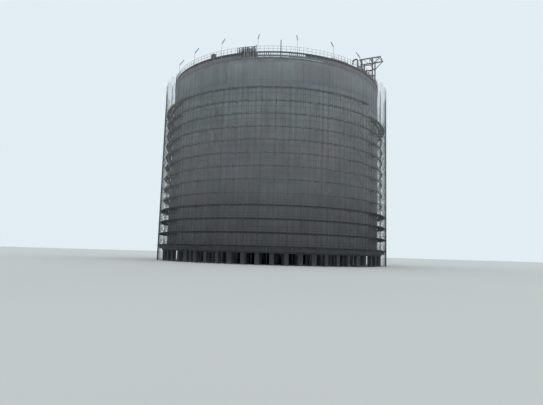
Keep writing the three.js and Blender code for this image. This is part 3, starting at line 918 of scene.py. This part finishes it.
def make_level(lift, dice):
    tubes = Shape()
    couplers = Shape()
    boards = Shape()
    wall_boards = Shape()
    top = deck_top(lift)
    transom = top - BOARD_DEPTH - TUBE
    ledger = transom - 2 * TUBE
    inner_line = INNER_ROW + 2 * TUBE
    outer_line = OUTER_ROW - 2 * TUBE
    low = lift <= LAST_DARK_LIFT
    for bay in range(BAYS):
        if lift == LIFTS and lowered(bay):
            continue
        angle = BAY_ANGLE * bay
        for radius in (inner_line, outer_line):
            rail(tubes, radius, bay, ledger + dice.uniform(-0.01, 0.01), dice.random())
        for k in range(INNER_PER_BAY):
            place = angle + TRANSOM_TURN + BAY_ANGLE / INNER_PER_BAY * k
            start = spot(WALL_RADIUS + 0.06, place, transom)
            tubes.rod(start, spot(OUTER_ROW + 0.07, place, transom), TUBE, TUBE_SIDES, dice.random())
        for radius, reach in ((INNER_ROW, COUPLER_REACH), (OUTER_ROW, -COUPLER_REACH)):
            couplers.pole(radius, angle, ledger - 0.035, ledger + 0.035, TUBE * 1.6, 6)
            place = spot(radius, angle, ledger) + outward(angle) * reach
            half = along(angle) * COUPLER_HALF
            couplers.beam(place - half, place + half, 0.075, 0.085, UP)
        for rise in GUARD_RISES if low else GUARD_RISES[1:]:
            rail(tubes, outer_line, bay, top + rise, dice.random())
        rows, wall_rows, tints = board_plan(lift, bay)
        lay_boards(boards, bay, top, BOARDS_INNER, rows, tints, dice)
        lay_boards(wall_boards, bay, top, WALL_BOARDS_INNER, wall_rows, tints, dice)
        if low:
            edge = BOARDS_INNER + FULL_ROWS * (BOARD_WIDTH + BOARD_GAP) + 0.02
            height = top + TOE_BOARD_RISE
            start, end = spot(edge, angle + 0.1, height), spot(edge, angle + BAY_ANGLE - 0.1, height)
            # Near-black tint: painted shade
            tint = dice.uniform(*LOW_TINTS_PAINTED_SHADE)
            boards.beam(start, end, BOARD_WIDTH * 0.8, BOARD_DEPTH * 0.8, UP, tint)
    number = f"{lift + 1:02d}"
    piece(f"scaffold_tubes_{number}", tubes, TUBES, "scaffold_tube")
    piece(f"scaffold_couplers_{number}", couplers, COUPLERS, "scaffold_tube")
    piece(f"scaffold_boards_{number}", boards, BOARDS, "scaffold_boards", f"scaffold_deck_{number}")
    piece(f"scaffold_wall_boards_{number}", wall_boards, BOARDS, "scaffold_boards")


def lay_boards(shape, bay, top, inner, rows, tints, dice):
    height = top - BOARD_DEPTH / 2
    side = outward(BAY_ANGLE * (bay + 0.5))
    for row in range(rows):
        radius = inner + BOARD_WIDTH / 2 + row * (BOARD_WIDTH + BOARD_GAP)
        start = spot(radius + dice.uniform(-0.004, 0.004), BAY_ANGLE * bay + 0.05, height)
        end = spot(radius + dice.uniform(-0.004, 0.004), BAY_ANGLE * (bay + 1) - 0.05, height)
        lift = UP * dice.uniform(-0.003, 0.002)
        shape.beam(start + lift, end + lift, BOARD_WIDTH, BOARD_DEPTH, side, dice.uniform(*tints))


def make_bracing(dice):
    """Zigzags up the outer face, braces between the rows at each bay, and ties to the wall."""
    shape = Shape()

    def brace(low, high, tint=0.5):
        shape.rod(spot(*low), spot(*high), TUBE, TUBE_SIDES, tint)

    outer_line = OUTER_ROW + TUBE * 1.2
    for bay in range(0, BAYS, BRACED_EVERY):
        ends = [BAY_ANGLE * bay, BAY_ANGLE * (bay + 1)]
        for lift in range(LIFTS):
            left, right = reversed(ends) if lift % 2 else ends
            low = (outer_line, left, deck_top(lift) - 0.25)
            brace(low, (outer_line, right, deck_top(lift + 1) - 0.15), dice.random())
        brace((outer_line, ends[0], 0.25), (outer_line, ends[1], FIRST_DECK - 0.15))
    for bay in range(BAYS):
        angle = BAY_ANGLE * bay - 0.12
        for lift in range(LIFTS):
            from_inside = (lift + bay) % 2
            low_radius, high_radius = (INNER_ROW, OUTER_ROW) if from_inside else (OUTER_ROW, INNER_ROW)
            low = (low_radius, angle, deck_top(lift) + 0.1)
            brace(low, (high_radius, angle, deck_top(lift + 1) - 0.2), dice.random())
    for bay in range(0, BAYS, TIED_EVERY):
        angle = BAY_ANGLE * bay + 0.3
        for lift in range(1, LIFTS, 2):
            height = deck_top(lift) - 0.22
            brace((WALL_RADIUS + 0.002, angle, height), (OUTER_ROW + 0.06, angle, height), dice.random())
            start = spot(WALL_RADIUS + 0.001, angle, height)
            end = spot(WALL_RADIUS + PLATE_DEPTH, angle, height)
            shape.beam(start, end, PLATE_WIDTH, PLATE_WIDTH, UP, 0.2)
    piece("scaffold_braces", shape, TUBES, "scaffold_tube")


def make_ladders():
    shape = Shape()
    radius = OUTER_ROW - LADDER_INSET
    side = outward(LADDER_ANGLE + BAY_ANGLE / 2)
    half = side * LADDER_HALF
    for lift in range(LIFTS - 1):
        bottom, top = LADDER_TURNS if lift % 2 else LADDER_TURNS[::-1]
        foot = spot(radius, LADDER_ANGLE + bottom, deck_top(lift))
        head = spot(radius, LADDER_ANGLE + top, deck_top(lift + 1) + LADDER_PAST)
        for way in (-half, half):
            shape.beam(foot + way, head + way, 0.03, 0.07, side, 0.8)
        for step in range(1, LADDER_STEPS):
            place = foot + (head - foot) * step / LADDER_STEPS
            shape.rod(place - half, place + half, 0.014, 6, 0.9)
    piece("scaffold_ladders", shape, TUBES, "scaffold_tube")


def make_scaffold():
    dice = random.Random(SCAFFOLD_SEED)
    outer = [f"scaffold_outer_standards_{side}" for side in SIDES]
    make_standards("outer_scaffold_standards", outer, OUTER_ROW, 0.0, OUTER_PER_BAY, dice)
    inner = ["scaffold_inner_standards"]
    make_standards("inner_scaffold_standards", inner, INNER_ROW, SLAB_TOP, INNER_PER_BAY, dice)
    for lift in range(LIFTS + 1):
        make_level(lift, dice)
    make_bracing(dice)
    make_ladders()


# Walkway

def primer_share(angle):
    """The walkway's steel is red primer towards the view's sides, and dark paint in front."""
    turned = abs((angle + 180) % 360 - 180)
    return min(1.0, max(0.0, (turned - PRIMER_FROM) / PRIMER_FADE))


def plate_stretch(shape, section, start, end):
    """A plate from angle to angle, in lengths that each take the primer's share there."""
    places = between(start, end, max(1, round((end - start) / PLATE_ANGLE)))
    for low, high in zip(places, places[1:]):
        shape.arc(section, low, high, 1.0, primer_share((low + high) / 2))


def make_band():
    """Plates round the rim with two slits and a window in front, which thin sheet closes elsewhere."""
    shape = Shape()
    left, meeting, right = LEFT_SLIT_ANGLES[0], LEFT_SLIT_ANGLES[-1], RIGHT_SLIT_ANGLES[-1]
    full_turn = left + 360
    foot = RING_TOP + GAP
    plate_stretch(shape, band(BAND_INNER, BAND_OUTER, WINDOW[1], BAND_TOP), 0, 360)
    for slit, start, end in ((LEFT_SLIT, left, meeting), (RIGHT_SLIT, meeting, full_turn)):
        plate_stretch(shape, band(BAND_INNER, BAND_OUTER, foot, slit[0]), start, end)
        plate_stretch(shape, band(BAND_INNER, BAND_OUTER, slit[1], WINDOW[0]), start, end)
    for (bottom, top), start in ((RIGHT_SLIT, right), (WINDOW, WINDOW_ANGLES[-1])):
        sheet = band(BAND_OUTER - 0.045, BAND_OUTER - 0.03, bottom - PLATE_LAP, top + PLATE_LAP)
        plate_stretch(shape, sheet, start, full_turn)
        for i in range(round((full_turn - start) / RIB_ANGLE)):
            angle = start + RIB_ANGLE * (i + 0.5)
            low, high = bottom - PLATE_LAP / 2, top + PLATE_LAP / 2
            shape.post(BAND_OUTER - 0.024, angle, low, high, 0.02, 0.05, primer_share(angle))
    middle = (BAND_INNER + BAND_OUTER) / 2

    def bar(angle, opening, depth, width, facing):
        low, high = opening[0] - PLATE_LAP, opening[1] + PLATE_LAP
        shape.post(middle, angle, low, high, depth, width, 0.1, facing)

    slits = ((LEFT_SLIT, LEFT_SLIT_ANGLES), (RIGHT_SLIT, RIGHT_SLIT_ANGLES))
    for opening, angles in ((WINDOW, WINDOW_ANGLES), *slits):
        for angle in angles:
            bar(angle, opening, 0.13, BAND_POST, angle)
    for opening, angles in slits:
        count = round((angles[-1] - angles[0]) * BARS_PER_DEGREE)
        for angle in between(angles[0], angles[-1], count)[1:-1]:
            bar(angle, opening, BAR_DEPTH, SLIT_BAR, angles[0])
    for start, end in zip(WINDOW_ANGLES, WINDOW_ANGLES[1:]):
        width = THIN_BAR if start == WINDOW_ANGLES[1] else WIDE_BAR
        for angle in between(start, end, round(end - start))[1:-1]:
            bar(angle, WINDOW, BAR_DEPTH, width, start)
    for i in range(BAND_TEETH):
        angle = FIRST_TOOTH + TOOTH_ANGLE * i
        shape.post(middle, angle, BAND_TOP - PLATE_LAP, BAND_TOP + TOOTH_HEIGHT, 0.12, 0.16, 0.0)
    piece("walkway_edge_plates", shape, BAND_PAINT, "walkway_steel", "walkway_edge_band", smooth=30)


def make_walk_boards(dice):
    shape = Shape()
    bearer = RING_TOP + BEARER / 2 + GAP
    height = WALK_TOP - 0.021
    for i in range(WALK_BAYS):
        angle = WALK_BAY_ANGLE * i
        start = spot(WALK_INNER + 0.02, angle, bearer)
        shape.beam(start, spot(BAND_INNER - 0.03, angle, bearer), BEARER, BEARER, UP, 0.3)
        side = outward(angle + WALK_BAY_ANGLE / 2)
        for row in range(WALK_ROWS):
            radius = WALK_INNER + 0.03 + WALK_BOARD / 2 + row * (WALK_BOARD + 0.005)
            low = spot(radius, angle + 0.02, height)
            high = spot(radius, angle + WALK_BAY_ANGLE - 0.02, height)
            drop = UP * dice.uniform(-0.003, 0.0)
            tint = dice.uniform(0.0, 0.6)
            shape.beam(low + drop, high + drop, WALK_BOARD, BOARD_DEPTH, side, tint)
    piece("walkway_boards", shape, WALKWAY_PAINT, "walkway_steel", "walkway_deck", smooth=30)


def make_railing(name, nodes, radius, foot, heights, kick, dice):
    shape = Shape()
    for i in range(round(360 / POST_ANGLE)):
        angle = POST_ANGLE * i
        following = angle + POST_ANGLE
        tint = primer_share(angle) * dice.uniform(0.2, 0.8)
        shape.pole(radius, angle, foot, foot + heights[-1], POST_TUBE, 7, tint)
        shape.post(radius, angle, foot, foot + 0.01, 0.1, 0.1, tint)
        for height in heights:
            start = spot(radius, angle, foot + height)
            shape.rod(start, spot(radius, following, foot + height), RAIL_TUBE, 7, tint)
        if kick:
            low = foot + 0.012
            kick_plate = band(radius - 0.03, radius - 0.024, low, low + KICK_PLATE)
            shape.arc(kick_plate, angle + 0.05, following - 0.05, POST_ANGLE, tint)
    piece(name, shape, RAIL_PAINT, "walkway_steel", *nodes)


def make_lights():
    poles = Shape()
    lenses = Shape()
    tilt = radians(FITTING_TILT)
    body = chamfered(*FITTING_BODY)
    collar = chamfered(*FITTING_COLLAR)
    conduit = [(CONDUIT_RADIUS + x, CONDUIT_HEIGHT + y) for x, y in circle(CONDUIT_TUBE, 8)]
    poles.ring(conduit, steps=180, tint=0.6)
    for i in range(LIGHTS):
        angle = FIRST_LIGHT + 360 * i / LIGHTS
        inward = -outward(angle)
        side = along(angle) * CLAMP_HALF
        foot = spot(CONDUIT_RADIUS + 0.008, angle, POLE_FOOT)
        head = spot(CONDUIT_RADIUS + 0.008, angle, POLE_TOP)
        step = foot + UP * POLE_STEP
        poles.rod(foot, step, POLE_LOWER_TUBE, 10, 0.3)
        poles.rod(step, head, POLE_TUBE, 10, 0.3)
        for rise in CLAMP_RISES:
            clamp = foot + UP * rise
            poles.beam(clamp - side, clamp + side, 0.05, 0.03, UP, 0.7)
        way = inward * cos(tilt) + UP * sin(tilt)
        down = inward * sin(tilt) - UP * cos(tilt)
        tip = head + way * FITTING_LENGTH
        poles.rod(head - UP * 0.02, head + way * 0.18, POLE_TUBE, 10, 0.3)
        start = head + way * 0.12
        poles.extrude(start, tip, body, down, 0.4)
        poles.extrude(start - way * 0.03, start + way * 0.03, collar, down, 0.8)
        poles.extrude(tip - way * 0.03, tip, collar, down, 0.8)
        gear = start - down * 0.075
        poles.beam(gear + way * 0.3, gear + way * 0.7, 0.04, 0.09, down, 0.5)
        glass = down * 0.067
        ends = (start + way * 0.06 + glass, tip - way * 0.06 + glass)
        lenses.extrude(*ends, chamfered(*LENS_SIZE), down)
    piece("walkway_light_poles", poles, POLE_PAINT, "lighting_metal", "lighting_ring")
    piece("walkway_light_lenses", lenses, LENS, "lighting_metal")


# Gantry, in its own axes: reach outward, offset along the rim, height

def gantry_spot(reach, offset, height):
    return outward(GANTRY_ANGLE) * reach + along(GANTRY_ANGLE) * offset + UP * height


def gantry_bar(shape, start, end, size, tint):
    """A rolled bar of that size between two places, each a reach, an offset and a height."""
    shape.extrude(gantry_spot(*start), gantry_spot(*end), i_section(*size), UP, tint)


def make_gantry_leg(shape, reach, offset, foot, top):
    way_out = outward(GANTRY_ANGLE)
    way_on = along(GANTRY_ANGLE)
    low = gantry_spot(reach, offset, foot + GAP)
    shape.extrude(low, gantry_spot(reach, offset, top), i_section(*GANTRY_COLUMN), way_out, 0.3)
    shape.beam(low, low + UP * 0.025, 0.24, 0.24, way_out, 0.5)
    for x in (-BOLT_PLACE, BOLT_PLACE):
        for y in (-BOLT_PLACE, BOLT_PLACE):
            bolt = low + way_out * x + way_on * y
            shape.rod(bolt, bolt + UP * 0.06, 0.014, 6, 0.8)


def make_gantry():
    portal = Shape()
    beams = Shape()
    leg_top = GANTRY_TOP - GANTRY_BEAM - GAP
    beam_middle = GANTRY_TOP - GANTRY_BEAM / 2
    half = GANTRY_WIDTH / 2
    stiffener = outward(GANTRY_ANGLE) * 0.006
    for offset in (-half, half):
        inner = (INNER_LEG, offset)
        outer = (OUTER_LEG, offset)
        make_gantry_leg(portal, *inner, PLINTH_TOP, leg_top)
        make_gantry_leg(portal, *outer, WALK_TOP, leg_top)
        for height in GANTRY_TIES:
            gantry_bar(portal, (*inner, height), (*outer, height), GANTRY_TIE, 0.6)
        low = gantry_spot(*inner, GANTRY_TIES[0])
        portal.rod(low, gantry_spot(*outer, GANTRY_TIES[1]), 0.035, 8, 0.5)
        knee_top = (GANTRY_REACH - 0.3, offset, leg_top - 0.06)
        gantry_bar(portal, (*outer, leg_top - KNEE_DROP), knee_top, GANTRY_KNEE, 0.4)
        back, front = (GANTRY_BACK, offset, beam_middle), (GANTRY_REACH, offset, beam_middle)
        gantry_bar(beams, back, front, GANTRY_RUNWAY, 0.2)
        for reach in (GANTRY_BACK + 0.01, INNER_LEG, OUTER_LEG, GANTRY_REACH - 0.01):
            place = gantry_spot(reach, offset, beam_middle)
            beams.beam(place - stiffener, place + stiffener, GANTRY_BEAM - 0.01, 0.19, UP, 0.2)
    for height in GANTRY_TIES:
        ends = [(INNER_LEG, offset, height) for offset in (-half, half)]
        gantry_bar(portal, *ends, GANTRY_TIE, 0.6)
    for reach in (GANTRY_BACK + 0.12, (GANTRY_BACK + GANTRY_REACH) / 2, GANTRY_REACH - 0.12):
        ends = [(reach, offset, beam_middle) for offset in (-half, half)]
        gantry_bar(beams, *ends, CROSS_BEAM, 0.2)
    step = (GANTRY_REACH - GANTRY_BACK) / PLAN_BRACES
    for i in range(PLAN_BRACES):
        side = -half if i % 2 else half
        low = gantry_spot(GANTRY_BACK + step * (i + 0.1), side, beam_middle)
        high = gantry_spot(GANTRY_BACK + step * (i + 0.9), -side, beam_middle)
        beams.beam(low, high, 0.08, 0.08, UP, 0.4)
    piece("gantry_portal", portal, PRIMER, "primer_steel", "gantry_frame", smooth=30)
    # The runway beams take the paler primer, painted light
    piece("gantry_runway_beams", beams, RUNWAY_PAINTED_LIGHT_PRIMER, "primer_steel", "gantry_runway", smooth=30)


def curve_tube(shape, points, radius, sides, tint, side):
    """A round bar through points that lie in one plane; side is square to that plane."""
    rings = []
    for i, point in enumerate(points):
        ahead = unit(points[min(i + 1, len(points) - 1)] - points[max(i - 1, 0)])
        other = np.cross(ahead, side)
        rings.append(np.array([point + side * s + other * o for s, o in circle(radius, sides)]))
    shape.loft(rings, tint)


def quadratic(first, control, last, steps):
    """Points of a quadratic curve, without its first."""
    shares = [i / steps for i in range(1, steps + 1)]
    return [first * (1 - t) ** 2 + control * 2 * t * (1 - t) + last * t ** 2 for t in shares]


def make_davit():
    shape = Shape()
    inward = -outward(DAVIT_ANGLE)

    def place(reach, height):
        return spot(DAVIT_RADIUS, DAVIT_ANGLE, WALK_TOP + height) + inward * reach

    foot = place(0, GAP)
    bend = place(0, DAVIT_STRAIGHT)
    crown = place(DAVIT_REACH / 2, DAVIT_TOP)
    end = place(DAVIT_REACH, DAVIT_TOP - DAVIT_DROP)
    points = [foot, bend, *quadratic(bend, place(0, DAVIT_TOP), crown, 8)]
    points += quadratic(crown, place(DAVIT_REACH, DAVIT_TOP), end, 8)
    curve_tube(shape, points, DAVIT_BAR, 12, 0.3, along(DAVIT_ANGLE))
    shape.beam(foot, foot + UP * 0.02, 0.3, 0.3, inward, 0.5)
    shape.rod(foot, foot + UP * 0.45, DAVIT_SLEEVE, 12, 0.6)
    shape.rod(end, end - UP * 0.3, 0.05, 8, 0.6)
    shape.beam(end - UP * 0.2, end - UP * 0.5, 0.24, 0.2, inward, 0.4)
    piece("davit_crane", shape, PRIMER, "primer_steel", "davit_arm")


# Small pieces on the walkway

def make_loading_gate(dice):
    shape = Shape()
    foot = WALK_TOP + GAP
    step = (GUARD_TO - GUARD_FROM) / (GUARD_POSTS - 1)
    for i in range(GUARD_POSTS):
        angle = GUARD_FROM + step * i
        shape.post(GUARD_RADIUS, angle, foot, GUARD_TOP, 0.09, 0.09, 0.9)
        shape.post(GUARD_RADIUS, angle, foot, foot + PLATE_DEPTH, 0.16, 0.16, 0.5)
        if i == GUARD_POSTS - 1:
            break
        for height in ((foot + GUARD_TOP) / 2, GUARD_TOP - 0.04):
            start = spot(GUARD_RADIUS, angle, height)
            shape.beam(start, spot(GUARD_RADIUS, angle + step, height), 0.06, 0.05, UP, 0.9)
        for share in (0.35, 0.7):
            top = GUARD_TOP - dice.uniform(0.1, 0.9)
            place = angle + step * share
            shape.post(GUARD_RADIUS + 0.03, place, foot, top, 0.03, 0.08, dice.random(), angle)
    piece("loading_gate", shape, PRIMER, "walkway_steel", "loading_guard")


def make_gate_boards(dice):
    """Dark uprights and pale boards between them, tied to the outside of the band."""
    shape = Shape()
    start, end = GATE_BOARDS
    for i, angle in enumerate(between(start, end, round((end - start) / GATE_BOARD_ANGLE))):
        bottoms, tops, proud, tints = GATE_BOARD_KINDS[i % 2]
        bottom = dice.uniform(*bottoms)
        top = dice.uniform(*tops)
        shape.post(BAND_OUTER + proud, angle, bottom, top, 0.025, 0.11, dice.uniform(*tints))
    piece("loading_gate_boards", shape, BOARDS, "scaffold_boards")


def make_gantry_guard(dice):
    """Uneven upright boards on the walkway, on both sides of the gantry's foot and under it."""
    shape = Shape()
    start, end = FOOT_GUARD
    foot = WALK_TOP + GAP
    for i, angle in enumerate(between(start, end, round((end - start) / GUARD_BOARD_ANGLE))[:-1]):
        top = next(dice.uniform(low, high) for limit, low, high in FOOT_GUARD_TOPS if angle < limit)
        if i % TALL_BOARD_EVERY == TALL_BOARD_EVERY - 1:
            top += TALL_BOARD_MORE
        width = dice.uniform(*GUARD_BOARD_WIDTHS)
        shape.post(GUARD_RADIUS, angle, foot, top, 0.03, width, dice.random())
    piece("gantry_foot_guard", shape, PRIMER, "walkway_steel")


def make_cabinet():
    shape = Shape()
    way_out = outward(CABINET_ANGLE)
    way_on = along(CABINET_ANGLE)

    def place(out, on, height):
        return spot(CABINET_RADIUS, CABINET_ANGLE, height) + way_out * out + way_on * on

    roof = place(0, 0, CABINET_TOP - 0.03)
    shape.extrude(place(0, 0, WALK_TOP + 0.1), roof, chamfered(*CABINET_SIZE, 0.015), way_out, 0.1)
    shape.extrude(roof, roof + UP * 0.03, chamfered(*CABINET_ROOF, 0.02), way_out, 0.4)
    for x in (-0.2, 0.2):
        for y in (-0.38, 0.38):
            foot = place(x, y, WALK_TOP + GAP)
            shape.beam(foot, foot + UP * 0.11, 0.05, 0.05, way_out, 0.5)
    for side in (-0.21, 0.21):
        door = place(0.235, side, WALK_TOP + 1.05)
        shape.extrude(door - UP * 0.88, door + UP * 0.9, chamfered(0.02, 0.39, 0.005), way_out, 0.3)
        handle = door + way_out * 0.02 - way_on * side * 0.7
        shape.rod(handle - UP * 0.08, handle + UP * 0.08, 0.012, 8, 0.9)
    piece("control_cabinet", shape, WALKWAY_PAINT, "walkway_steel", "walkway_cabinet")


def make_mast():
    shape = Shape()
    foot = WALK_TOP + GAP
    head = spot(MAST_RADIUS, MAST_ANGLE, MAST_TOP - MAST_HEAD)
    shape.pole(MAST_RADIUS, MAST_ANGLE, foot, MAST_TOP - MAST_HEAD, 0.09, 12, 0.1)
    shape.post(MAST_RADIUS, MAST_ANGLE, foot, foot + 0.02, 0.3, 0.3, 0.5)
    shape.rod(head, head + UP * MAST_HEAD, 0.1, 12, 0.2, end_scale=0.8)
    piece("signal_mast", shape, POLE_PAINT, "lighting_metal", "walkway_mast")


# Floor, light and camera

FLOOR_RADIUS = 1500
FLOOR_COLOUR = (0.60, 0.585, 0.56)
SKY_COLOUR = (0.76, 0.85, 0.90)
SUN_STRENGTH = 0.5
SUN_SOFTNESS = 60
SUN_TURN = (25, 20, 0)
IMAGE_WIDTH = 543
FOCAL_PIXELS = 438
SENSOR_WIDTH = 36
CLIP_END = 2000
CAMERA_DISTANCE = 95.44
EYE_HEIGHT = 1.881
# Pan, tilt and roll
CAMERA_TURNS = (-0.22, 6.68, 1.69)


def make_floor():
    look = Look("studio_floor", roughness=0.95)
    wide = look.noise(0.02, 3.0)
    look.colour(look.mottle(FLOOR_COLOUR, wide, 0.97, 1.03))
    points = [tuple(spot(FLOOR_RADIUS * SCALE, angle, 0)) for angle in range(0, 360, 5)]
    mesh = bpy.data.meshes.new("floor")
    mesh.from_pydata(points, [], [tuple(range(len(points)))])
    mesh.materials.append(look.material)
    put("floor", mesh)


def make_light():
    world = bpy.data.worlds.new("overcast_sky")
    world.use_nodes = True
    background = world.node_tree.nodes["Background"]
    background.inputs["Color"].default_value = (*SKY_COLOUR, 1.0)
    background.inputs["Strength"].default_value = 1.0
    bpy.context.scene.world = world
    lamp = bpy.data.lights.new("soft_sun", "SUN")
    lamp.energy = SUN_STRENGTH
    lamp.angle = radians(SUN_SOFTNESS)
    sun = put("soft_sun", lamp)
    sun.rotation_euler = [radians(turn) for turn in SUN_TURN]


def make_camera():
    pan, tilt, roll = (radians(turn) for turn in CAMERA_TURNS)
    right = Vector((cos(pan), -sin(pan), 0))
    ahead = Vector((sin(pan), cos(pan), 0)) * cos(tilt) + Vector((0, 0, sin(tilt)))
    up = right.cross(ahead)
    turned_right = right * cos(roll) + up * sin(roll)
    turned_up = up * cos(roll) - right * sin(roll)
    data = bpy.data.cameras.new("photo_camera")
    data.sensor_width = SENSOR_WIDTH
    data.lens = FOCAL_PIXELS / IMAGE_WIDTH * SENSOR_WIDTH
    data.clip_end = CLIP_END
    camera = put("photo_camera", data)
    turn = Matrix((turned_right, turned_up, -ahead)).transposed()
    place = Vector((0, -CAMERA_DISTANCE, EYE_HEIGHT)) * SCALE
    camera.matrix_world = Matrix.Translation(place) @ turn.to_4x4()
    bpy.context.scene.camera = camera


def make_tank():
    make_slab()
    for number, ring in enumerate(PIER_RINGS, 1):
        make_pier_ring(number, *ring)
    dice = random.Random(WALL_SEED)
    for number in range(1, WALL_SEGMENTS + 1):
        make_wall_segment(number, dice)
    make_tie_plugs()
    make_ring_beam()
    make_dome()


def make_walkway():
    dice = random.Random(WALKWAY_SEED)
    make_band()
    make_walk_boards(dice)
    outer = [f"outer_handrail_{side}" for side in SIDES]
    make_railing("outer_railing", outer, OUTER_RAIL, BAND_TOP + GAP, OUTER_RISES, False, dice)
    inner = ["inner_handrail"]
    make_railing("inner_railing", inner, INNER_RAIL, WALK_TOP + GAP, INNER_RISES, True, dice)
    make_lights()
    make_gantry()
    make_davit()
    make_loading_gate(dice)
    make_gate_boards(dice)
    make_gantry_guard(dice)
    make_cabinet()
    make_mast()


bpy.context.scene.view_settings.view_transform = "Standard"
make_tank()
make_scaffold()
make_walkway()
make_floor()
make_light()
make_camera()
